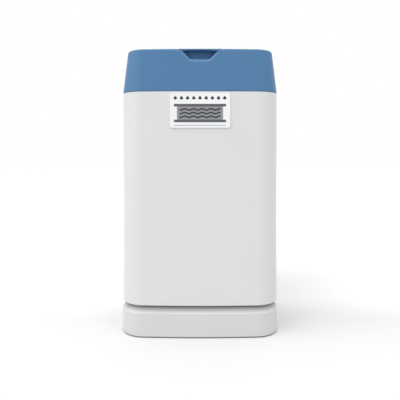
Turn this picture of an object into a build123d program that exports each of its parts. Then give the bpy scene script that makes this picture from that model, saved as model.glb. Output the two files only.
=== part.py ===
"""Compact cabinet water conditioner: plinth, salt tub, blue cover, pressure tank, valve and bypass.

Millimetres, +Z up, front towards -Y. Every piece is drawn about the cabinet's own centre and is then
moved so that the origin lies on the floor at the middle of the whole outline.
"""

import os
from math import cos, hypot, pi, radians, sin, tan

from build123d import *

os.makedirs("parts", exist_ok=True)

# How far a cut runs past a face, and a boss into what carries it
past = 1.0

# Cabinet
cabinet_width = 320.0
cabinet_depth = 450.0
cabinet_height = 575.0
front_bow = 6.0
front_corner = 48.0
back_corner = 30.0
rear_reach = 25.0
badge_reach = 1.3
half_width = cabinet_width / 2
front_y = -cabinet_depth / 2
back_y = cabinet_depth / 2
origin_shift = -(rear_reach - badge_reach) / 2

# Plinth and tub
plinth_wall_top = 48.0
plinth_wall = 4.0
shoulder_top = 60.0
shoulder_inset = 8.0
neck_inset = 10.0
skirt_bottom = 63.0
deck_top = 66.0
deck_thickness = 3.0
tub_floor = 70.0
tub_wall = 4.0
tub_inset = 0.5
tub_top = 488.0
boss_radius = 6.5
boss_spread = (118.0, 170.0)
screw_radius = 2.0
notch_half = 75.0
notch_bottom = 408.0
overflow_at = (105.0, 392.0)
overflow_stem = 10.0

# Cover and hatch
cover_wall = 3.0
cover_taper = 6.7
cover_edge = 4.5
cover_low = cabinet_height - cover_wall
taper_run = (cabinet_height - tub_top) * tan(radians(cover_taper))
hatch_half = 116.0
hatch_front = -203.0
hatch_thickness = 3.0
hatch_gap = 0.5
mouth_half = 108.0
mouth_front = -190.0
hinge_half = 100.0
hinge_y = -43.0
hinge_radius = 4.0
hinge_z = cabinet_height - hinge_radius
hinge_pin = 1.5
pin_reach = 13.0
ear_front = -47.0
mouth_back = hinge_y + hinge_radius + 0.8

# Finger scoop: half width at the top and at its floor, and the floor's height
scoop_rim = (51.0, 18.0, 547.0)
scoop_cavity = (35.0, 20.0, 556.0)
scoop_rim_depth = 18.0
scoop_back = -197.0
scoop_corner = 9.0
scoop_wall = 2.5
tongue_half = 46.0
tongue_setback = 2.0

# Badge plate
badge_width = 119.0
badge_height = 69.0
badge_bottom = 415.5

# Pressure tank
tank_y = 70.0
tank_radius = 103.0
tank_wall = 3.0
tank_bottom = 74.0
tank_top = 404.0
tank_neck = 41.0
tank_mouth = 31.75
riser_radius = 13.35
riser_bore = 10.8
riser_top = 400.0
strainer_radius = 25.0
strainer_top = 140.0
ring_radius = 36.5
ring_half = 1.5

# Control valve: barrel along Y, with the piston, its seals and spacers in it
bore_z = 452.0
bore_radius = 19.0
barrel_radius = 29.0
barrel_front = 22.0
barrel_back = 109.0
flange_radius = 30.0
cap_screws = ((-26.0, 0.0), (26.0, 0.0), (0.0, -26.0), (0.0, 26.0))
port_x = 36.0
port_z = 446.0
port_radius = 15.0
port_bore = 10.5
port_back = 118.0
socket_radius = 13.0
socket_front = 104.0
piston_radius = 15.0
piston_back = 98.0
piston_length = 48.0
rod_radius = 4.0
seal_radius = 18.8
seal_count = 5
seal_length = 3.0
spacer_length = 12.0
stack_front = 26.0
stack_back = stack_front + seal_count * (seal_length + spacer_length)

# Injector, brine elbow and drain elbow, screwed into the valve body
injector_at = (-38.0, 47.0)
injector_bottom = 456.0
injector_top = 476.0
injector_radius = 6.0
elbow_x = -88.0
elbow_y = 45.0
elbow_z = 462.0
elbow_seat = -45.5
elbow_thread = 4.5
drain_at = (50.0, 466.0)
drain_thread = 5.4

# Gear train: the teeth, and the angles from one shaft to the next
module = 1.5
main_teeth = 40
large_teeth = 30
small_teeth = 12
main_angle = 45.0
motor_angle = 135.0
shaft_radius = 1.5
post_radius = 2.0
bearing_radius = 7.5
bracket_front = 13.0
bracket_back = 16.0

# Valve cover and its sloping panel
panel_low = (-42.0, 500.0)
panel_high = (-12.0, 548.0)
housing_bottom = 414.0
housing_half = 75.0
housing_wall = 2.5
key_radius = 5.0
key_row = -15.0
key_places = {"key_set": -33.0, "key_down": -11.0, "key_up": 11.0, "key_clock": 33.0}
display_size = (60.0, 20.0)
display_row = 8.0
window_margin = 2.5
window_thickness = 1.5

# Bypass
bypass_back = 208.0
bypass_bore = 9.5
rotor_y = 160.0
rotor_housing = 21.0
rotor_radius = 15.7
rotor_floor = 428.0
rotor_top = 470.0
stem_radius = 5.5
stem_top = 488.0
thread_radius = 13.2
spigot_end = back_y + rear_reach

# Brine well, float and line
well_x = -102.0
well_y = -150.0
well_radius = 40.0
well_wall = 2.5
well_top = 468.0
pickup_x = well_x + 14.0
pickup_radius = 5.0
float_x = well_x - 14.0
float_radius = 17.0
float_rod_radius = 2.0
line_radius = 4.75
line_wall = 1.2
line_z = 448.0

# Salt grid
grid_top = 118.0
grid_thickness = 4.0
grid_back = -48.0


def save(name, *pieces):
    """Write one sub-part, moved from the cabinet's centre to the part's origin."""
    placed = [Pos(0, origin_shift, 0) * piece for piece in pieces]
    shape = placed[0] if len(placed) == 1 else Compound(children=placed)
    export_step(shape, f"parts/{name}.step")


def block(x, y, z):
    """Rectangular block given by its limits along each axis."""
    middle = Pos((x[0] + x[1]) / 2, (y[0] + y[1]) / 2, (z[0] + z[1]) / 2)
    return middle * Box(x[1] - x[0], y[1] - y[0], z[1] - z[0])


def bar(axis, radius, start, end, at):
    """Round bar along an axis; at gives its other two coordinates in X, Y, Z order."""
    body = Cylinder(radius, end - start, align=(Align.CENTER, Align.CENTER, Align.MIN))
    if axis == "Z":
        return Pos(at[0], at[1], start) * body
    if axis == "Y":
        return Pos(at[0], start, at[1]) * Rot(-90, 0, 0) * body
    return Pos(start, at[0], at[1]) * Rot(0, 90, 0) * body


def tube(axis, outer, inner, start, end, at):
    """Round tube along an axis."""
    return bar(axis, outer, start, end, at) - bar(axis, inner, start - past, end + past, at)


def hex_nut(across_flats, hole, start, end, at):
    """Six-sided nut about an axis along Y."""
    sides = RegularPolygon(across_flats / 2, 6, major_radius=False)
    nut = Pos(at[0], start, at[1]) * Rot(-90, 0, 0) * extrude(sides, end - start)
    return nut - bar("Y", hole, start - past, end + past, at)


def turned(points, x, y):
    """Turned piece about an upright axis, from (radius, height) points."""
    profile = make_face(Polyline(*points, close=True))
    return Pos(x, y, 0) * revolve(Plane.XZ * profile, Axis.Z)


def plan(inset):
    """Outline seen from above, drawn inwards from the cabinet: flat sides and back, bowed front."""
    side = half_width - inset
    front = front_y + inset
    back = back_y - inset
    bow = ThreePointArc((-side, front + front_bow), (0, front), (side, front + front_bow))
    walls = Polyline((side, front + front_bow), (side, back), (-side, back), (-side, front + front_bow))
    face = make_face(Curve() + [bow, walls])
    face = fillet(face.vertices().sort_by(Axis.Y)[:2], front_corner - inset)
    return fillet(face.vertices().sort_by(Axis.Y)[-2:], back_corner - inset)


def prism(inset, low, high):
    """Upright slab of the cabinet's outline."""
    return Pos(0, 0, low) * extrude(plan(inset), high - low)


def tapered(low_inset, low, high_inset, high):
    """Slab of the cabinet's outline that narrows from one height to another."""
    return loft([Pos(0, 0, low) * plan(low_inset), Pos(0, 0, high) * plan(high_inset)], ruled=True)


def four_corners(spread):
    """The four places at plus and minus the spread in X and Y."""
    return [(x, y) for x in (-spread[0], spread[0]) for y in (-spread[1], spread[1])]


def make_plinth():
    """Plinth: hollow moulding with a sloping shoulder, ribs and screw pillars."""
    foot_edge = 1.5
    rib_half = 1.5
    rib_spread = 75.0
    ribs_z = (6.0, 64.0)
    pillar_bottom = 34.0
    pillar_wall = 3.0
    seat_depth = 10.0
    head_seat = 46.0
    head_radius = 4.2
    head_height = 3.0
    drive_slot = (6.0, 1.0, 2.0)
    body = prism(0, 0, plinth_wall_top)
    body += tapered(0, plinth_wall_top, shoulder_inset, shoulder_top)
    body += prism(neck_inset, shoulder_top, deck_top)
    body = fillet(body.edges().group_by(Axis.Z)[0], foot_edge)
    hollow = prism(plinth_wall, -past, plinth_wall_top)
    hollow += tapered(plinth_wall, plinth_wall_top, shoulder_inset + plinth_wall, shoulder_top)
    hollow += prism(shoulder_inset + plinth_wall, shoulder_top, deck_top - deck_thickness)
    ribs = block((-rib_half, rib_half), (front_y, back_y), ribs_z)
    for y in (-rib_spread, rib_spread):
        ribs += block((-half_width, half_width), (y - rib_half, y + rib_half), ribs_z)
    body = body - hollow + (ribs & prism(plinth_wall - past, ribs_z[0], plinth_wall_top))
    screws = []
    for place in four_corners(boss_spread):
        body += bar("Z", boss_radius + pillar_wall, pillar_bottom, deck_top, place)
        body -= bar("Z", boss_radius + 0.2, deck_top - seat_depth, deck_top + past, place)
        body -= bar("Z", head_radius + 1.0, pillar_bottom - past, head_seat, place)
        body -= bar("Z", screw_radius + 0.2, head_seat - past, deck_top, place)
        screw = bar("Z", head_radius, head_seat - head_height, head_seat, place)
        screw += bar("Z", screw_radius, head_seat, deck_top - 3, place)
        screws.append(screw - Pos(*place, head_seat - head_height) * Box(*drive_slot))
    save("cabinet_base", body)
    save("base_screws", *screws)


def make_tub():
    """Salt tub: one moulding with its floor, a skirt round the plinth's neck and a notch for the pipes."""
    rim_edge = 2.0
    notch_corner = 8.0
    boss_bottom = 57.0
    through = (back_y - 20, back_y + past)
    body = prism(tub_inset, skirt_bottom, tub_top)
    body = fillet(body.edges().group_by(Axis.Z)[0], rim_edge)
    body -= prism(tub_inset + tub_wall, tub_floor, tub_top + past)
    body -= prism(tub_inset + tub_wall, skirt_bottom - past, deck_top)
    for place in four_corners(boss_spread):
        boss = bar("Z", boss_radius, boss_bottom, deck_top + past, place)
        body += boss - bar("Z", screw_radius + 0.05, boss_bottom - past, deck_top - 2, place)
    notch = block((-notch_half, notch_half), through, (notch_bottom, tub_top + past))
    body -= fillet(notch.edges().filter_by(Axis.Y).group_by(Axis.Z)[0], notch_corner)
    body -= bar("Y", overflow_stem + 0.3, *through, overflow_at)
    save("cabinet_body", body)


def scoop_outline(top_half, bottom_half, floor, grow):
    """Section of the finger scoop: a dish with sloping ends, open at the top."""
    top = cabinet_height + 10
    slope = (top_half - bottom_half) / (cabinet_height - floor)
    reach = bottom_half + slope * (top - floor)
    points = [(-reach - grow, top), (-bottom_half - grow / 2, floor - grow)]
    points += [(bottom_half + grow / 2, floor - grow), (reach + grow, top)]
    face = make_face(Polyline(*points, close=True))
    low = face.vertices().sort_by(Axis.Y)[:2]
    return fillet(low, scoop_corner + grow)


def scoop_space(grow):
    """Hollow of the scoop: a sloping rim that narrows into a straight cavity."""
    rim_end = front_y + scoop_rim_depth
    rim = Plane.XZ.offset(-(front_y - past)) * scoop_outline(*scoop_rim, grow)
    throat = Plane.XZ.offset(-rim_end) * scoop_outline(*scoop_cavity, grow)
    dish = loft([rim, throat], ruled=True)
    return dish + extrude(throat, -(scoop_back + grow - rim_end))


def make_top_cover():
    """Cover: tapered shell with a rolled top edge, locating lip, hatch mouth and finger scoop."""
    low_edge = 2.0
    rest_inset = 2.5
    rest_height = 3.0
    lip_inset = 5.0
    lip_wall = 2.5
    lip_depth = 10.0
    frame_width = 4.0
    frame_low = cover_low - 6
    ear_depth = 2.0
    mouth_corner = 8.0
    rebate_corner = 12.5
    outer = tapered(0, tub_top, taper_run, cabinet_height)
    outer = fillet(outer.edges().group_by(Axis.Z)[-1], cover_edge)
    outer = fillet(outer.edges().group_by(Axis.Z)[0], low_edge)
    body = outer - tapered(cover_wall, tub_top - past, cover_wall + taper_run, cover_low)
    inside_lip = prism(lip_inset + lip_wall, tub_top - lip_depth - past, tub_top + rest_height + past)
    body += prism(rest_inset, tub_top, tub_top + rest_height) - inside_lip
    body += prism(lip_inset, tub_top - lip_depth, tub_top + past) - inside_lip

    frame_x = (-hatch_half - frame_width, hatch_half + frame_width)
    frame_back = mouth_back + 3
    body += block(frame_x, (hatch_front - frame_width, frame_back), (frame_low, cover_low + past))
    for side in (-1, 1):
        ear_x = sorted((side * (hinge_half + hatch_gap), side * frame_x[1]))
        body += block(ear_x, (ear_front, frame_back), (frame_low - ear_depth, cover_low + past))
    body += scoop_space(scoop_wall) & outer

    cut_z = (frame_low - 9, cabinet_height + past)
    skin_z = (cover_low, cabinet_height + past)
    mouth = block((-mouth_half, mouth_half), (mouth_front, ear_front), cut_z)
    body -= fillet(mouth.edges().filter_by(Axis.Z), mouth_corner)
    body -= block((-hinge_half - hatch_gap, hinge_half + hatch_gap), (ear_front - 10, mouth_back), cut_z)
    rebate_x = (-hatch_half - hatch_gap, hatch_half + hatch_gap)
    rebate = block(rebate_x, (hatch_front - hatch_gap, ear_front), skin_z)
    body -= fillet(rebate.edges().filter_by(Axis.Z).group_by(Axis.Y)[0], rebate_corner)
    body -= scoop_space(0)
    body -= block((-tongue_half - hatch_gap, tongue_half + hatch_gap), (front_y, mouth_front), skin_z)
    for side in (-1, 1):
        pin_x = sorted((side * hinge_half, side * (hinge_half + pin_reach)))
        body -= bar("X", hinge_pin, *pin_x, (hinge_y, hinge_z))
    save("top_cover", body)


def make_hatch():
    """Hatch: flush plate with a stiffening rim, a rolled hinge edge and a finger tongue in front."""
    low = cabinet_height - hatch_thickness
    plate_back = ear_front - 1.8
    plate_corner = 12.0
    tongue_corner = 5.0
    top_edge = 0.8
    rim_gap = 4.0
    rim_wall = 3.0
    rim_height = 6.0
    rim_corner = 6.0
    rib_half = 1.0
    rib_height = 4.0
    rib_places = (-52.0, 0.0, 52.0)
    bore_depth = 14.0
    plate = block((-hatch_half, hatch_half), (hatch_front, plate_back), (low, cabinet_height))
    plate = fillet(plate.edges().filter_by(Axis.Z).group_by(Axis.Y)[0], plate_corner)
    plate += block((-hinge_half, hinge_half), (plate_back - 2, hinge_y), (low, cabinet_height))
    tongue_y = (front_y + taper_run + tongue_setback, hatch_front + 2)
    tongue = block((-tongue_half, tongue_half), tongue_y, (low + 0.5, cabinet_height))
    tongue = fillet(tongue.edges().filter_by(Axis.Z).group_by(Axis.Y)[0], tongue_corner)
    plate = fillet((plate + tongue).faces().sort_by(Axis.Z)[-1].edges(), top_edge)

    rim_x = mouth_half - rim_gap
    rim_y = (mouth_front + rim_gap, ear_front - 6)
    rim = block((-rim_x, rim_x), rim_y, (low - rim_height, low))
    rim = fillet(rim.edges().filter_by(Axis.Z), rim_corner)
    inner_x = rim_x - rim_wall
    inner_y = (rim_y[0] + rim_wall, rim_y[1] - rim_wall)
    inner = block((-inner_x, inner_x), inner_y, (low - rim_height - past, low))
    body = plate + (rim - fillet(inner.edges().filter_by(Axis.Z), rim_corner - rim_wall))
    rib_y = (rim_y[0] + past, rim_y[1] - past)
    for x in rib_places:
        body += block((x - rib_half, x + rib_half), rib_y, (low - rib_height, low))
    body += bar("X", hinge_radius, -hinge_half, hinge_half, (hinge_y, hinge_z))
    pins = []
    for side in (-1, 1):
        bore_x = sorted((side * (hinge_half - bore_depth), side * (hinge_half + past)))
        body -= bar("X", hinge_pin + 0.08, *bore_x, (hinge_y, hinge_z))
        pin_x = sorted((side * (hinge_half - pin_reach), side * (hinge_half + pin_reach)))
        pins.append(bar("X", hinge_pin, *pin_x, (hinge_y, hinge_z)))
    save("salt_hatch", body)
    save("hatch_pins", *pins)


def make_badge():
    """Badge plate: thin plate whose back follows the bowed front."""
    corner = 4.0
    edge = 0.8
    thickest = 12.0
    top = badge_bottom + badge_height
    width = (-badge_width / 2, badge_width / 2)
    plate = block(width, (front_y - badge_reach, front_y + thickest), (badge_bottom, top))
    plate = fillet(plate.edges().filter_by(Axis.Y), corner)
    plate = fillet(plate.faces().sort_by(Axis.Y)[0].edges(), edge)
    save("badge_plate", plate - prism(tub_inset, badge_bottom - past, top + past))


def make_tank():
    """Fibre-wound pressure tank on its boot, with the resin, riser tube and strainers in it."""
    boot_radius = 106.0
    boot_top = 140.0
    boot_bore = tank_radius + 0.4
    boot_window = (12.0, 34.0, 30.0)
    window_z = 112.0
    outline = [(0, tub_floor), (boot_radius, tub_floor), (boot_radius, boot_top)]
    outline += [(boot_bore, boot_top), (boot_bore, tank_bottom), (0, tank_bottom)]
    boot = turned(outline, 0, tank_y)
    for turn in range(6):
        spot = Pos(0, tank_y, window_z) * Rot(0, 0, 60 * turn) * Pos(boot_radius, 0, 0)
        boot -= spot * Box(*boot_window)
    save("tank_boot", boot)

    dome = [(30, 0), (72, 8), (96, 28), (tank_radius, 56)]
    crown = [(tank_radius, 66), (95, 42), (72, 24), (tank_neck, 16)]
    skin = tank_wall - 0.5
    floor = tank_bottom + tank_wall
    outside = [(0, tank_bottom)] + [(r, tank_bottom + h) for r, h in dome]
    outside += [(r, tank_top - h) for r, h in crown] + [(tank_neck, tank_top), (tank_mouth, tank_top)]
    inside = [(tank_mouth, tank_top - 20)]
    inside += [(r - skin, tank_top - h - 2) for r, h in reversed(crown[:3])]
    inside += [(r - skin, tank_bottom + h + 2) for r, h in reversed(dome[1:])]
    inside += [(28, floor), (0, floor)]
    save("resin_tank", turned(outside + inside, 0, tank_y))

    bed_top = 290.0
    bed_gap = 0.7
    around_strainer = strainer_radius + 0.5
    around_riser = riser_radius + 0.3
    bed = [(around_strainer, floor), (28, floor)]
    bed += [(r - skin - bed_gap, tank_bottom + h + 2 + bed_gap) for r, h in dome[1:]]
    bed += [(tank_radius - skin - bed_gap, bed_top), (around_riser, bed_top)]
    bed += [(around_riser, strainer_top + past), (around_strainer, strainer_top + past)]
    save("resin_bed", turned(bed, 0, tank_y))

    lid_low = strainer_top - 4
    strainer_wall = 3.0
    slot = (12.0, 4.0, 44.0)
    slot_z = 107.0
    save("riser_tube", tube("Z", riser_radius, riser_bore, lid_low, riser_top, (0, tank_y)))
    strainer = tube("Z", strainer_radius, strainer_radius - strainer_wall, floor, strainer_top, (0, tank_y))
    strainer += bar("Z", strainer_radius, floor, floor + strainer_wall, (0, tank_y))
    strainer += tube("Z", strainer_radius, riser_radius, lid_low, strainer_top, (0, tank_y))
    for turn in range(8):
        strainer -= Pos(0, tank_y, slot_z) * Rot(0, 0, 45 * turn) * Pos(strainer_radius, 0, 0) * Box(*slot)
    save("bottom_distributor", strainer)
    cone = [(riser_radius, 374), (24, 374), (30.5, 382), (30.5, 390), (26, 390), (riser_radius, 378)]
    save("top_distributor", turned(cone, 0, tank_y))


def make_valve_body():
    """Valve body: tank adapter, piston barrel, inlet and outlet ports, injector and drain bosses."""
    axis = (0, bore_z)
    neck = (0, tank_y)
    adapter_radius = 48.0
    adapter_top = tank_top + 9
    plug_bottom = tank_top - 13
    neck_radius = 33.0
    neck_top = 443.0
    rib_reach = 46.0
    rib_height = 11.0
    rib_half = 1.25
    port_front = 62.0
    web_half = (port_x + 2, 8.0)
    cross_bore = 7.0
    small_bore = 3.0
    screw_bore = 1.5
    body = bar("Z", tank_mouth - 0.3, plug_bottom, tank_top, neck)
    body += bar("Z", adapter_radius, tank_top, adapter_top, neck)
    body += bar("Z", neck_radius, adapter_top - past, neck_top, neck)
    body += bar("Y", barrel_radius, barrel_front, barrel_back, axis)
    body += bar("Y", flange_radius, barrel_front, barrel_front + 6, axis)
    for x in (-port_x, port_x):
        body += bar("Y", port_radius, port_front, port_back, (x, port_z))
    body += block((-web_half[0], web_half[0]), (66, 107), (port_z - web_half[1], port_z + web_half[1]))
    rib_z = (adapter_top - past, adapter_top + rib_height)
    for turn in range(12):
        rib = block((neck_radius - 4, rib_reach), (-rib_half, rib_half), rib_z)
        body += Pos(0, tank_y, 0) * Rot(0, 0, 30 * turn + 15) * rib
    body += block((-52, -14), (34, 60), (448, injector_top))
    body += bar("X", 9, 12, 48, drain_at)

    ring_walls = (ring_radius + ring_half + 0.2, ring_radius - ring_half - 0.2)
    body -= tube("Z", *ring_walls, tank_top - past, tank_top + 2 * ring_half + 0.2, neck)
    body -= bar("Y", bore_radius, barrel_front - past, stack_back, axis)
    body -= bar("Z", riser_radius + 0.25, plug_bottom - past, riser_top + 0.2, neck)
    body -= bar("Z", riser_bore, riser_top, bore_z - 4, neck)
    for x in (-port_x, port_x):
        body -= bar("Y", port_bore, 74, port_back + past, (x, port_z))
        body -= bar("Y", socket_radius, socket_front, port_back + past, (x, port_z))
        body -= bar("X", cross_bore, *sorted((x, x / 3)), (86, port_z))
    body -= bar("Z", injector_radius + 0.3, injector_bottom, injector_top + past, injector_at)
    body -= bar("X", small_bore, injector_at[0], -8, (injector_at[1], 460))
    body -= bar("X", elbow_thread + 0.1, -53, elbow_seat, (elbow_y, elbow_z))
    body -= bar("X", small_bore, elbow_seat - past, injector_at[0], (elbow_y, elbow_z))
    body -= bar("X", drain_thread + 0.1, 36, 49, drain_at)
    body -= bar("X", small_bore, 6, 37, drain_at)
    for x, z in cap_screws:
        body -= bar("Y", screw_bore, barrel_front - past, barrel_front + 5, (x, bore_z + z))
    save("valve_body", body)


def make_piston_group():
    """Piston with its rod, in a stack of seals and windowed spacers behind the end cap."""
    axis = (0, bore_z)
    seal_bore = piston_radius + 0.3
    spacer_bore = 16.4
    window = (8.0, 7.0, 9.0)
    seals = []
    spacers = []
    station = stack_front
    for number in range(seal_count):
        seals.append(tube("Y", seal_radius, seal_bore, station, station + seal_length, axis))
        station += seal_length
        spacer = tube("Y", seal_radius, spacer_bore, station, station + spacer_length, axis)
        for turn in range(4):
            middle = Pos(0, station + spacer_length / 2, bore_z) * Rot(0, 90 * turn + 45, 0)
            spacer -= middle * Pos(seal_radius, 0, 0) * Box(*window)
        spacers.append(spacer)
        station += spacer_length
    save("piston_seals", *seals)
    save("seal_spacers", *spacers)

    waists = ((8.0, 9.0), (27.0, 12.0))
    waist_radius = 10.5
    hollow = 8.0
    piston_front = piston_back - piston_length
    rod_end = piston_front + 16
    piston = bar("Y", piston_radius, piston_front, piston_back, axis)
    for start, width in waists:
        low = piston_front + start
        piston -= tube("Y", piston_radius + past, waist_radius, low, low + width, axis)
    piston -= bar("Y", rod_radius, piston_front - past, rod_end, axis)
    piston -= bar("Y", hollow, piston_back - hollow, piston_back + past, axis)
    save("valve_piston", piston)

    rod_front = -2.0
    groove_pitch = 4.0
    groove_width = 1.6
    groove_depth = 0.6
    rod = bar("Y", rod_radius, rod_front, rod_end, axis)
    for turn in range(9):
        low = groove_pitch * turn
        rod -= tube("Y", rod_radius + past, rod_radius - groove_depth, low, low + groove_width, axis)
    save("piston_rod", rod)

    screw_bore = 1.7
    cap = bar("Y", flange_radius, bracket_back, barrel_front, axis)
    cap += bar("Y", bore_radius - 0.2, barrel_front, stack_front, axis)
    cap -= bar("Y", rod_radius + 0.3, bracket_back - past, stack_front + past, axis)
    for x, z in cap_screws:
        cap -= bar("Y", screw_bore, bracket_back - past, barrel_front + past, (x, bore_z + z))
    save("end_cap", cap)


def gear(teeth, thickness, phase):
    """Spur gear blank with straight-flanked teeth, its front face on the XZ plane; phase in degrees."""
    pitch = module * teeth / 2
    root = pitch - 1.2 * module
    tip = pitch + 0.8 * module
    pitch_half = 0.42 * pi / teeth
    root_half = 1.45 * pitch_half
    tip_half = 0.52 * pitch_half
    points = []
    for tooth in range(teeth):
        middle = radians(phase) + 2 * pi * tooth / teeth
        for radius, turn in ((root, -root_half), (tip, -tip_half), (tip, tip_half), (root, root_half)):
            points.append((radius * cos(middle + turn), radius * sin(middle + turn)))
    face = Plane.XZ * make_face(Polyline(*points, close=True))
    return extrude(face, -thickness)


def shaft_places():
    """The (x, z) places of the reduction gear and of the motor, from the teeth in mesh."""
    first = (main_teeth + small_teeth) * module / 2
    second = (large_teeth + small_teeth) * module / 2
    angle = radians(main_angle)
    idler = (first * cos(angle), bore_z + first * sin(angle))
    angle = radians(motor_angle)
    return idler, (idler[0] + second * cos(angle), idler[1] + second * sin(angle))


def make_gear_train():
    """Drive gears: motor pinion, compound reduction gear, and the main gear whose hub drives the rod."""
    idler, motor = shaft_places()
    axis = (0, bore_z)
    gap = 0.3
    hub_radius = 10.0
    hole_radius = 5.5
    hole_ring = 19.0
    hole_length = 10.0
    main = Pos(0, 5, bore_z) * gear(main_teeth, 6, main_angle + 180 / main_teeth)
    main += bar("Y", hub_radius, 0, bracket_front - gap, axis)
    main += bar("Y", bearing_radius, bracket_front - past, bracket_back - gap, axis)
    main -= bar("Y", rod_radius + gap, -past, bracket_back, axis)
    for turn in range(5):
        spot = Pos(0, 8, bore_z) * Rot(0, 72 * turn, 0) * Pos(hole_ring, 0, 0)
        main -= spot * Rot(90, 0, 0) * Cylinder(hole_radius, hole_length)
    save("main_gear", main)

    compound = Pos(idler[0], 4, idler[1]) * gear(small_teeth, 8, main_angle + 180)
    compound += Pos(idler[0], -2, idler[1]) * gear(large_teeth, 5, motor_angle + 180 / large_teeth)
    compound += bar("Y", 6, 2.5, 4.5, idler)
    compound -= bar("Y", post_radius + 0.06, -4, 14, idler)
    save("reduction_gear", compound)

    pinion = Pos(motor[0], -3, motor[1]) * gear(small_teeth, 7, motor_angle + 180)
    pinion += bar("Y", 5.5, 4, 9, motor)
    pinion += bar("Y", shaft_radius, -4, 25, motor)
    save("motor_pinion", pinion)


def make_drive_frame():
    """Motor with its flattened side, and the bracket that carries it and the gears."""
    idler, motor = shaft_places()
    motor_radius = 18.0
    motor_end = bracket_back + 34
    nose_radius = 5.0
    flat_x = (motor[0] - motor_radius - past, motor[0] + motor_radius + past)
    flat_z = (motor[1] + 14, motor[1] + 20)
    body = bar("Y", motor_radius, bracket_back, motor_end, motor)
    body -= block(flat_x, (bracket_back + 8, motor_end + past), flat_z)
    body += bar("Y", nose_radius, motor_end - past, motor_end + 4, motor)
    body += bar("Y", nose_radius, bracket_front, bracket_back + past, motor)
    body -= bar("Y", shaft_radius + 0.06, bracket_front - past, 26, motor)
    save("drive_motor", body)

    through = (bracket_front - past, bracket_back + past)
    corner = 5.0
    pillar_radius = 4.0
    pillar_bore = 1.4
    pillar_front = bracket_front - 8
    pillars = [(x, z) for x in (-62.0, 62.0) for z in (430.0, 536.0)]
    slot_half = 8.0
    slot_z = (478.0, 500.0)
    plate_x = (-housing_half, housing_half)
    plate = block(plate_x, (bracket_front, bracket_back), (housing_bottom, panel_high[1]))
    plate = fillet(plate.edges().filter_by(Axis.Y), corner)
    plate -= bar("Y", bearing_radius + 0.05, *through, (0, bore_z))
    plate -= bar("Y", nose_radius + 0.1, *through, motor)
    plate += bar("Y", post_radius, -4, bracket_front + past, idler)
    plate += bar("Y", 2 * post_radius, bracket_front - 0.5, bracket_front, idler)
    for place in pillars:
        plate += bar("Y", pillar_radius, pillar_front, bracket_front, place)
        plate -= bar("Y", pillar_bore, pillar_front - past, bracket_back + past, place)
    for x in (-45.0, 45.0):
        plate -= block((x - slot_half, x + slot_half), through, slot_z)
    save("drive_bracket", plate)


def sloping_panel():
    """Plane of the valve cover's sloping panel, with its origin at the panel's middle."""
    rise = (panel_high[0] - panel_low[0], panel_high[1] - panel_low[1])
    length = hypot(*rise)
    normal = (0, -rise[1] / length, rise[0] / length)
    middle = (0, (panel_low[0] + panel_high[0]) / 2, (panel_low[1] + panel_high[1]) / 2)
    return Plane(origin=middle, x_dir=(1, 0, 0), z_dir=normal)


def housing_profile(inset):
    """Side view of the valve cover, drawn inwards by a wall: front, sloping panel, top and open back."""
    points = [
        (bracket_front, housing_bottom + inset),
        (panel_low[0] + inset, housing_bottom + inset),
        (panel_low[0] + inset, panel_low[1] + 0.413 * inset),
        (panel_high[0] + 0.6 * inset, panel_high[1] - inset),
        (bracket_front, panel_high[1] - inset),
    ]
    return Plane.YZ * make_face(Polyline(*points, close=True))


def make_valve_cover():
    """Valve cover: housing with a sloping panel, a window recess, key holes and vents."""
    panel = sloping_panel()
    corner = 5.0
    recess = (display_size[0] + 2 * window_margin, display_size[1] + 2 * window_margin, 2 * window_thickness)
    through = 8.0
    vent_half = (8.0, 1.2)
    vent_y = (panel_low[0] - past, panel_low[0] + housing_wall + past)
    vents = [(x, z) for x in (-60.0, 60.0) for z in (434.0, 440.0, 446.0, 452.0)]
    post_radius = 2.5
    posts = [(x, row) for x in (-50.0, 50.0) for row in (-19.0, 13.0)]
    outer = extrude(housing_profile(0), housing_half, both=True)
    outer = fillet(outer.edges().filter_by(Axis.X).sort_by(Axis.Y)[:3], corner)
    body = outer - extrude(housing_profile(housing_wall), housing_half - housing_wall, both=True)
    body -= panel * Pos(0, display_row, 0) * Box(*recess)
    body -= panel * Pos(0, display_row, -2) * Box(*display_size, through)
    for x in key_places.values():
        body -= panel * Pos(x, key_row, -2) * Cylinder(key_radius + 0.3, through)
    for x, z in vents:
        body -= block((x - vent_half[0], x + vent_half[0]), vent_y, (z - vent_half[1], z + vent_half[1]))
    for x, row in posts:
        body += panel * Pos(x, row, -6.2) * Cylinder(post_radius, through)
    save("valve_cover", body)


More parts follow.
